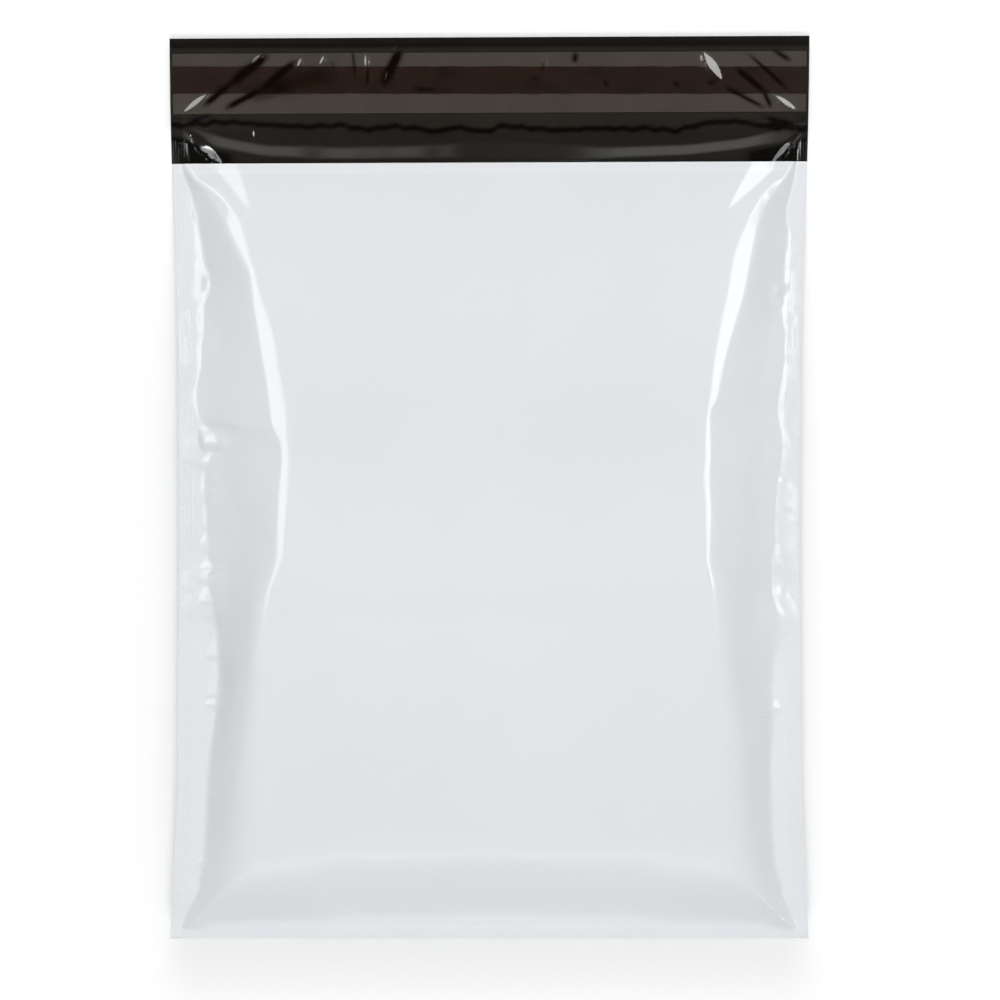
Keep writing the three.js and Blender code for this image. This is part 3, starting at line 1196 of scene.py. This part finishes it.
@dataclass(frozen=True)
class PressMarks:
    """Rows of small pyramids that the sealing bar presses into the side welds."""

    name: str
    tone: float
    rows: slice
    lines: tuple[float, ...] = (0.8, 1.9, 3.0, 4.1, 5.2)
    width: float = 0.8
    length: float = 0.7
    height: float = 0.1
    sink: float = 0.01
    least_size: float = 0.7
    seed: int = 5

    def tree(self) -> tuple[bpy.types.NodeTree, dict[str, str]]:
        """Build the node tree that stands a pyramid on every point.

        Returns:
            The tree, and the identifiers of its inputs by name.
        """
        tree = bpy.data.node_groups.new(self.name, "GeometryNodeTree")
        kinds = {
            "Points": "NodeSocketGeometry",
            "Width": "NodeSocketFloat",
            "Length": "NodeSocketFloat",
            "Height": "NodeSocketFloat",
            "Least Size": "NodeSocketFloat",
            "Seed": "NodeSocketInt",
            "Material": "NodeSocketMaterial",
        }
        inputs = {}
        for name, kind in kinds.items():
            inputs[name] = tree.interface.new_socket(name, in_out="INPUT", socket_type=kind).identifier
        tree.interface.new_socket("Marks", in_out="OUTPUT", socket_type="NodeSocketGeometry")
        bench = NodeBench(tree)
        given = bench.add("NodeGroupInput")
        sockets = [Wire(bench, given.outputs[name]) for name in kinds]
        points, width, length, height, least, seed, material = sockets
        up = bench.wire("GeometryNodeInputNamedAttribute", 0, {"data_type": "FLOAT_VECTOR"}, {"Name": "up"})
        turn = bench.wire("FunctionNodeAlignRotationToVector", 0, {"axis": "Z"}, {"Vector": up})
        # Inputs 2 and 3 of Random Value, and its output 1, are those of a single number.
        chance = {2: least, 3: 1.0, "Seed": seed}
        size = bench.wire("FunctionNodeRandomValue", 1, {"data_type": "FLOAT"}, chance)
        shape = {"Vertices": 4, "Radius Top": 0.0, "Radius Bottom": math.sqrt(0.5), "Depth": 1.0}
        spike = bench.wire("GeometryNodeMeshCone", "Mesh", {"fill_type": "NGON"}, shape)
        square = {"Geometry": spike, "Rotation": (0.0, 0.0, math.radians(45.0))}
        spike = bench.wire("GeometryNodeTransform", 0, None, square)
        extent = bench.wire("ShaderNodeCombineXYZ", 0, None, {"X": width, "Y": length, "Z": height})
        pyramid = bench.wire("GeometryNodeTransform", 0, None, {"Geometry": spike, "Scale": extent})
        stood = {"Points": points, "Instance": pyramid, "Rotation": turn, "Scale": size}
        marks = bench.wire("GeometryNodeInstanceOnPoints", 0, None, stood)
        solid = bench.wire("GeometryNodeRealizeInstances", 0, None, {"Geometry": marks})
        dressed = bench.wire("GeometryNodeSetMaterial", 0, None, {"Geometry": solid, "Material": material})
        bench.add("NodeGroupOutput", None, {"Marks": dressed})
        return tree, inputs

    def build(self, face: LeafFace, material: bpy.types.Material) -> bpy.types.Object:
        """Make the marks on a face of the film.

        Args:
            face: The face.
            material: The film's material on that side.

        Returns:
            The marks' object.
        """
        up = face.on_lines(face.up[self.rows], self.lines)
        places = face.on_lines(face.places[self.rows], self.lines) - self.sink * up
        mesh = bpy.data.meshes.new(self.name)
        mesh.from_pydata((places * MM).tolist(), [], [])
        mesh.attributes.new("up", "FLOAT_VECTOR", "POINT").data.foreach_set("vector", up.ravel())
        piece = bpy.data.objects.new(self.name, mesh)
        bpy.context.scene.collection.objects.link(piece)
        tree, inputs = self.tree()
        marks = piece.modifiers.new("marks", "NODES")
        marks.node_group = tree
        marks[inputs["Width"]] = self.width * MM
        marks[inputs["Length"]] = self.length * MM
        marks[inputs["Height"]] = self.height * MM
        marks[inputs["Least Size"]] = self.least_size
        marks[inputs["Seed"]] = self.seed
        marks[inputs["Material"]] = material
        made = piece.evaluated_get(bpy.context.evaluated_depsgraph_get())
        piece.data = bpy.data.meshes.new_from_object(made)
        piece.modifiers.clear()
        piece.data.shade_flat()
        tones = np.full(len(piece.data.vertices), self.tone)
        piece.data.attributes.new("tone", "FLOAT", "POINT").data.foreach_set("value", tones)
        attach(piece, "root")
        return piece


@dataclass
class FilmBag:
    """The bag: two leaves of one film lofted over the filling, given their thickness, and the open flap."""

    length: float
    eye_height: float
    flap: float = 50.0
    film: float = 0.16
    lean: float = 0.004
    row_pitch: float = 0.75
    margin_pitch: float = 0.7
    side_pitch: float = 1.0
    middle_columns: int = 100
    margin_band: float = 18.0
    side_band: float = 46.0
    slit_depth: float = 15.0
    weld_width: float = 5.0
    back_step: int = 4
    fold_reach: float = 6.0
    fold_fade: float = 5.0
    wave_slope: float = 0.045
    wave_lengths: Pair = (3.2, 9.0)
    wave_start: float = 2.0
    wave_band: float = 19.0
    wave_fade: float = 6.0
    # Tones of the front leaf by distance before the lip: two thin lighter lines.
    lip_tone: Line = ((-4.2, 0.8), (-3.4, 1.0), (-2.6, 1.0), (-2.0, 0.84), (-0.9, 0.86), (-0.4, 1.0))
    edge: Line = (
        (0.0, 127.3), (15.0, 126.3), (23.0, 126.1), (35.0, 125.3), (47.0, 124.6), (71.0, 124.1),
        (95.0, 124.0), (135.0, 123.7), (175.0, 123.7), (214.0, 123.9), (234.0, 124.0), (254.0, 124.5),
        (274.0, 125.4), (294.0, 126.1), (309.0, 126.6), (334.0, 127.2), (359.0, 127.5),
    )

    def __post_init__(self) -> None:
        """Lay out the rows along the bag and the columns across it."""
        self.pouch = self.length - self.flap
        self.fold_y = -self.length / 2.0
        self.lip_y = self.fold_y + self.pouch
        self.form = FilledForm(self.pouch)
        self.marks = FlapMarks()
        self.last = round(self.pouch / self.row_pitch)
        flap_rows = round(self.flap / self.row_pitch)
        pouch = np.linspace(0.0, self.pouch, self.last + 1)
        flap = np.linspace(self.pouch, self.length, flap_rows + 1)
        self.along = np.concatenate([pouch, flap[1:]])
        margin = np.arange(0.0, self.margin_band, self.margin_pitch)
        band_end = self.side_band + self.side_pitch / 2.0
        side = np.concatenate([margin, np.arange(self.margin_band, band_end, self.side_pitch)])
        half = on_line(self.edge, self.along, blur=8.0)[:, None]
        middle = np.linspace(-1.0, 1.0, self.middle_columns + 1)[None, 1:-1] * (half - self.side_band)
        self.x = np.concatenate([side - half, middle, (half - side)[:, ::-1]], axis=1)
        self.inset = half - np.abs(self.x)
        self.left = self.x[0] < 0.0

    def seen(self, z: Array) -> Array:
        """Points that the camera sees at the grid's places, from their heights.

        Args:
            z: Heights, for the first rows of the grid.

        Returns:
            Points, each nearer to the view axis the higher it stands.
        """
        x = self.x[: len(z)]
        y = np.broadcast_to(self.fold_y + self.along[: len(z), None], x.shape)
        toward = 1.0 - z / self.eye_height
        return np.stack([x * toward, (y + self.lean * x * (y - self.fold_y) / self.pouch) * toward, z], -1)

    def flap_rise(self, x: Array, up: Array) -> Array:
        """Height that the flap's folds add at places on it."""
        return self.marks.rise(x, up) * ease((up + self.fold_reach) / self.fold_fade)

    def waviness(self) -> Array:
        """Small waves of the film beside the welds.

        Returns:
            Heights on the grid.
        """
        y = np.broadcast_to(self.along[:, None], self.x.shape)
        beside = ease(self.inset / self.wave_start) * ease((self.wave_band - self.inset) / self.wave_fade)
        return beside * ripples(self.x, y, self.wave_slope, self.wave_lengths)

    def build(self) -> bpy.types.Object:
        """Loft both leaves and make their closed shell.

        Returns:
            The bag's object.
        """
        half = self.film / 2.0
        last = self.last
        up = np.broadcast_to(self.along[:, None] - self.pouch, self.x.shape)
        low = self.form.back_height(np.minimum(self.along, self.pouch), self.inset, self.left)
        low = np.maximum(low, half)
        self.flap_base = self.seen(low)[last:]
        low = np.maximum(low + self.flap_rise(self.x, up), half)
        high = self.form.front_height(self.along[: last + 1], self.inset[: last + 1], self.left)
        high += sum(crease.rise(self.x[: last + 1], up[: last + 1]) for crease in FRONT_CREASES)
        high -= sum(facet.drop(self.x[: last + 1], up[: last + 1]) for facet in FRONT_FACETS)
        high += self.waviness()[: last + 1]
        high = np.maximum(high, low[: last + 1] + self.film)
        front, back = self.seen(high), self.seen(low)
        front_up, back_up = grid_normals(front), grid_normals(back)
        self.pouch_face = LeafFace(front + front_up * half, front_up, self.margin_pitch)
        self.flap_face = LeafFace(back[last:] + back_up[last:] * half, back_up[last:], self.margin_pitch)
        piece = self.shell(front, front_up * half, back, back_up * half)
        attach(piece, "root")
        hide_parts("bag")
        return piece

    def shell(self, front: Array, front_half: Array, back: Array, back_half: Array) -> bpy.types.Object:
        """Make the closed shell of both leaves, with a slit behind the lip.

        Args:
            front: Middle of the front leaf.
            front_half: Half its thickness, upward.
            back: Middle of the back leaf and the flap.
            back_half: Half its thickness, upward.

        Returns:
            The shell's object.
        """
        last = self.last
        root = last - round(self.slit_depth / self.row_pitch)
        root -= root % self.back_step
        draft = MeshDraft()
        lip_tone = on_line(self.lip_tone, self.along[: last + 1, None] - self.pouch, blur=0.2)
        outer_front = draft.points(front + front_half, lip_tone)
        outer_back = draft.points(back - back_half, self.lip_tone[0][1])
        up = np.broadcast_to(self.along[:, None] - self.pouch, self.x.shape)
        # The black film's tone carries the flap's painted shade.
        inner_back = draft.points(back + back_half, self.marks.film_tone(self.x, up))
        inner_front = draft.points(front - front_half)
        shut = self.inset[last] < self.weld_width
        inner_front[:, shut] = inner_back[: last + 1, shut]
        opening = np.nonzero(~shut)[0]
        slit = (slice(root, last + 1), slice(opening[0] - 1, opening[-1] + 2))
        draft.sheet(outer_front, FilmSide.OUTSIDE)
        draft.sheet(outer_back[: root + 1 : self.back_step], FilmSide.OUTSIDE, flip=True)
        draft.sheet(outer_back[root:], FilmSide.OUTSIDE, flip=True)
        draft.sheet(inner_front[slit], FilmSide.INSIDE, flip=True)
        draft.sheet(inner_back[slit], FilmSide.INSIDE)
        draft.sheet(inner_back[last:], FilmSide.INSIDE)
        draft.wall(inner_front[slit][0], inner_back[slit][0], FilmSide.INSIDE)
        draft.wall(inner_front[last], outer_front[last], FilmSide.OUTSIDE)
        draft.wall(outer_front[0], outer_back[0], FilmSide.OUTSIDE)
        draft.wall(outer_back[-1], inner_back[-1], FilmSide.INSIDE)
        for edge in (0, -1):
            for row in range(0, root, self.back_step):
                rim = outer_front[row : row + self.back_step + 1, edge].tolist()
                rim += [outer_back[row + self.back_step, edge], outer_back[row, edge]]
                draft.add_faces(np.array(rim)[None], FilmSide.OUTSIDE)
            draft.wall(outer_front[root:last, edge], outer_back[root:last, edge], FilmSide.OUTSIDE)
            draft.wall(inner_back[last:, edge], outer_back[last:, edge], FilmSide.INSIDE)
            corner = [outer_front[last - 1, edge], outer_front[last, edge], inner_back[last, edge]]
            corner += [outer_back[last, edge], outer_back[last - 1, edge]]
            draft.add_faces(np.array(corner)[None], FilmSide.OUTSIDE)
        return draft.build("bag_film", [WHITE_FILM.material(), BLACK_FILM.material()])

    def flap_point(self, x: Array, up: Array) -> Array:
        """Points on the flap with its creases at full sharpness.

        Args:
            x: Places across the flap.
            up: Places along it from the lip.

        Returns:
            Points on the middle of the film.
        """
        rows = np.clip(up / self.flap, 0.0, 1.0) * (len(self.flap_base) - 1)
        columns = np.interp(x, self.x[-1], np.arange(self.x.shape[1]))
        points = sample_grid(self.flap_base, rows, columns)
        points[..., 2] = np.maximum(points[..., 2] + self.flap_rise(x, up), self.film / 2.0)
        return points


def sample_grid(points: Array, rows: Array, columns: Array) -> Array:
    """Points between the points of a grid.

    Args:
        points: The grid.
        rows: Row places, with parts of a row.
        columns: Column places, with parts of a column.

    Returns:
        Interpolated points.
    """
    row = np.minimum(rows.astype(int), points.shape[0] - 2)
    column = np.minimum(columns.astype(int), points.shape[1] - 2)
    down, right = (rows - row)[..., None], (columns - column)[..., None]
    low = points[row, column] * (1.0 - right) + points[row, column + 1] * right
    high = points[row + 1, column] * (1.0 - right) + points[row + 1, column + 1] * right
    return low * (1.0 - down) + high * down


# Glue stripe and liner


@dataclass
class FlapStrip:
    """A thin strip that lies across the flap and follows its creases."""

    name: str
    node: str
    slot: str
    lift: float
    thickness: float
    laid_on: tuple[str, ...] = ()
    column_pitch: float = 0.6
    row_pitch: float = 0.6

    def build(self, bag: FilmBag, material: bpy.types.Material) -> bpy.types.Object:
        """Make the strip on the settled flap.

        Args:
            bag: The settled bag.
            material: The strip's material.

        Returns:
            The strip's object.
        """
        low, high = node_box(self.node)
        columns = int((high[0] - low[0]) / self.column_pitch)
        rows = int((high[1] - low[1]) / self.row_pitch)
        x, y = np.meshgrid(np.linspace(low[0], high[0], columns), np.linspace(low[1], high[1], rows))
        under = bag.flap_point(x, y - bag.lip_y)
        up = grid_normals(under)
        draft = MeshDraft()
        bottom = draft.points(under + self.lift * up)
        # The top's tone carries painted shade from the flap's creases; the liner's material reads it.
        painted_shade_and_wet_glue = bag.marks.painted_shade_and_wet_glue(x, y - bag.lip_y)
        top = draft.points(under + (self.lift + self.thickness) * up, 1.0 - painted_shade_and_wet_glue)
        draft.sheet(top)
        draft.sheet(bottom, flip=True)
        draft.wall(top[0], bottom[0])
        draft.wall(bottom[-1], top[-1])
        draft.wall(bottom[:, 0], top[:, 0])
        draft.wall(top[:, -1], bottom[:, -1])
        piece = draft.build(self.name, [material])
        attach(piece, "root")
        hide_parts(self.node)
        return piece


# Studio


class LampUse(Enum):
    """What a lamp is for: filling with plain light, or being mirrored by the film."""

    FILL = "fill"
    SHEEN = "sheen"


@dataclass(frozen=True)
class AreaLamp:
    """A soft rectangular lamp aimed at a point."""

    name: str
    place: Place
    aim: Place
    size: Pair
    watts: float
    use: LampUse

    def build(self) -> None:
        """Add the lamp to the scene."""
        data = bpy.data.lights.new(self.name, "AREA")
        data.shape = "RECTANGLE"
        data.size, data.size_y = self.size
        data.energy = self.watts
        lamp = bpy.data.objects.new(self.name, data)
        lamp.location = self.place
        lamp.rotation_euler = aim_rotation(self.place, self.aim)
        lamp.visible_glossy = self.use is LampUse.SHEEN
        lamp.visible_diffuse = self.use is LampUse.FILL
        bpy.context.scene.collection.objects.link(lamp)


def aim_rotation(place: Place, aim: Place) -> tuple[float, float, float]:
    """Turn that points a lamp's -Z axis from its place to an aim.

    Args:
        place: Where the lamp stands.
        aim: What it points at.

    Returns:
        Euler angles.
    """
    away = np.subtract(place, aim)
    flat = math.hypot(away[0], away[1])
    return (math.atan2(flat, away[2]), 0.0, math.atan2(away[0], -away[1]) if flat else 0.0)


@dataclass(frozen=True)
class Studio:
    """White floor, soft lamps, a gradient sky and the camera that looks straight down."""

    frame_mm: float = 398.4
    bag_middle_px: Pair = (489.5, 487.75)
    photo_px: float = 1000.0
    lens_mm: float = 200.0
    sensor_mm: float = 36.0
    floor_drop_mm: float = 0.1
    floor_side: float = 12.0
    sky_top: float = 0.05
    sky_low: float = 0.5
    sky_band: Pair = (0.55, 0.98)
    far_clip: float = 100.0
    lamps: tuple[AreaLamp, ...] = (
        AreaLamp("left_strip", (-0.52, 0.72, 1.25), (0.0, 0.72, 0.0), (1.5, 0.26), 6.0, LampUse.SHEEN),
        AreaLamp("right_strip", (0.52, 0.72, 1.25), (0.0, 0.72, 0.0), (1.5, 0.26), 7.4, LampUse.SHEEN),
        AreaLamp("low_soft", (0.0, -0.75, 0.9), (0.0, 0.0, 0.0), (0.9, 0.4), 1.95, LampUse.FILL),
        AreaLamp("low_over", (0.0, -1.2, 2.3), (0.0, 0.0, 0.0), (0.8, 0.8), 20.7, LampUse.FILL),
        AreaLamp("over_soft", (0.0, 0.0, 2.6), (0.0, 0.0, 0.0), (0.6, 0.6), 8.0, LampUse.FILL),
        AreaLamp("top_over", (0.0, 1.1, 2.2), (0.0, 0.0, 0.0), (0.8, 0.8), 4.4, LampUse.FILL),
        AreaLamp("top_key", (0.0, 1.7, 1.4), (0.0, 0.0, 0.0), (1.6, 1.2), 9.0, LampUse.FILL),
        AreaLamp("top_near", (0.0, 0.9, 0.7), (0.0, 0.1, 0.0), (0.9, 0.3), 2.55, LampUse.FILL),
        AreaLamp("right_soft", (1.6, 0.0, 1.4), (0.0, 0.0, 0.0), (0.8, 0.8), 2.2, LampUse.FILL),
    )

    def build(self) -> None:
        """Add the floor, lamps, sky and camera."""
        self.add_floor()
        for lamp in self.lamps:
            lamp.build()
        self.add_sky()
        self.add_camera()
        bpy.context.scene.view_settings.view_transform = "Standard"

    def eye_height_mm(self) -> float:
        """Height of the camera over the floor."""
        return self.frame_mm * self.lens_mm / self.sensor_mm

    def add_floor(self) -> None:
        """Add the floor just under the bag."""
        half = self.floor_side / 2.0
        mesh = bpy.data.meshes.new("floor")
        drop = -self.floor_drop_mm * MM
        corners = [(-half, -half, drop), (half, -half, drop), (half, half, drop), (-half, half, drop)]
        mesh.from_pydata(corners, [], [(0, 1, 2, 3)])
        mesh.materials.append(FloorFinish().material())
        floor = bpy.data.objects.new("floor", mesh)
        bpy.context.scene.collection.objects.link(floor)

    def add_sky(self) -> None:
        """Light the scene from a sky that is dimmer overhead than near the horizon."""
        world = bpy.data.worlds.new("studio_sky")
        world.use_nodes = True
        bpy.context.scene.world = world
        bench = NodeBench(world.node_tree)
        way = bench.wire("ShaderNodeTexCoord", "Generated")
        height = Wire(bench, bench.add("ShaderNodeSeparateXYZ", None, {0: way}).outputs["Z"])
        strength = self.sky_low + (self.sky_top - self.sky_low) * height.step(*self.sky_band)
        sky = bench.wire("ShaderNodeBackground", 0, None, {"Strength": strength})
        bench.add("ShaderNodeOutputWorld", None, {"Surface": sky})

    def add_camera(self) -> None:
        """Look straight down, with the bag where the photograph has it."""
        data = bpy.data.cameras.new("camera")
        data.lens = self.lens_mm
        data.sensor_width = self.sensor_mm
        data.clip_end = self.far_clip
        camera = bpy.data.objects.new("camera", data)
        scale = self.frame_mm / self.photo_px
        x = (self.photo_px / 2.0 - self.bag_middle_px[0]) * scale * MM
        y = (self.bag_middle_px[1] - self.photo_px / 2.0) * scale * MM
        camera.location = (x, y, self.eye_height_mm() * MM)
        bpy.context.scene.collection.objects.link(camera)
        bpy.context.scene.camera = camera


def main() -> None:
    """Build the bag, its glue stripe and liner, and the studio around them."""
    logging.basicConfig(level=logging.INFO, format="%(message)s")
    low, high = node_box("bag")
    studio = Studio()
    bag = FilmBag(float(high[1] - low[1]), studio.eye_height_mm())
    film = bag.build()
    outside, inside = film.data.materials
    pieces = [film]
    pouch_marks = PressMarks("pouch_weld_marks", tone=0.8, rows=slice(2, -1))
    pieces.append(pouch_marks.build(bag.pouch_face, outside))
    flap_marks = PressMarks("flap_weld_marks", tone=0.4, rows=slice(1, 19), height=0.03)
    pieces.append(flap_marks.build(bag.flap_face, inside))
    glue_low, glue_high = node_box("adhesive_strip")
    glue = FlapStrip("glue_stripe", "adhesive_strip", "hot_melt_glue", lift=0.1, thickness=0.08)
    pieces.append(glue.build(bag, GlueFinish().material()))
    under = ("glue_stripe", "bag_film")
    liner = FlapStrip("peel_liner", "release_liner", "liner_film", lift=0.38, thickness=0.08, laid_on=under)
    liner_finish = LinerFinish(float(glue_low[1]), float(glue_high[1]))
    pieces.append(liner.build(bag, liner_finish.material()))
    studio.build()
    for piece in pieces:
        LOG.info("%s: %d faces", piece.name, len(piece.data.polygons))


if __name__ == "__main__":
    main()
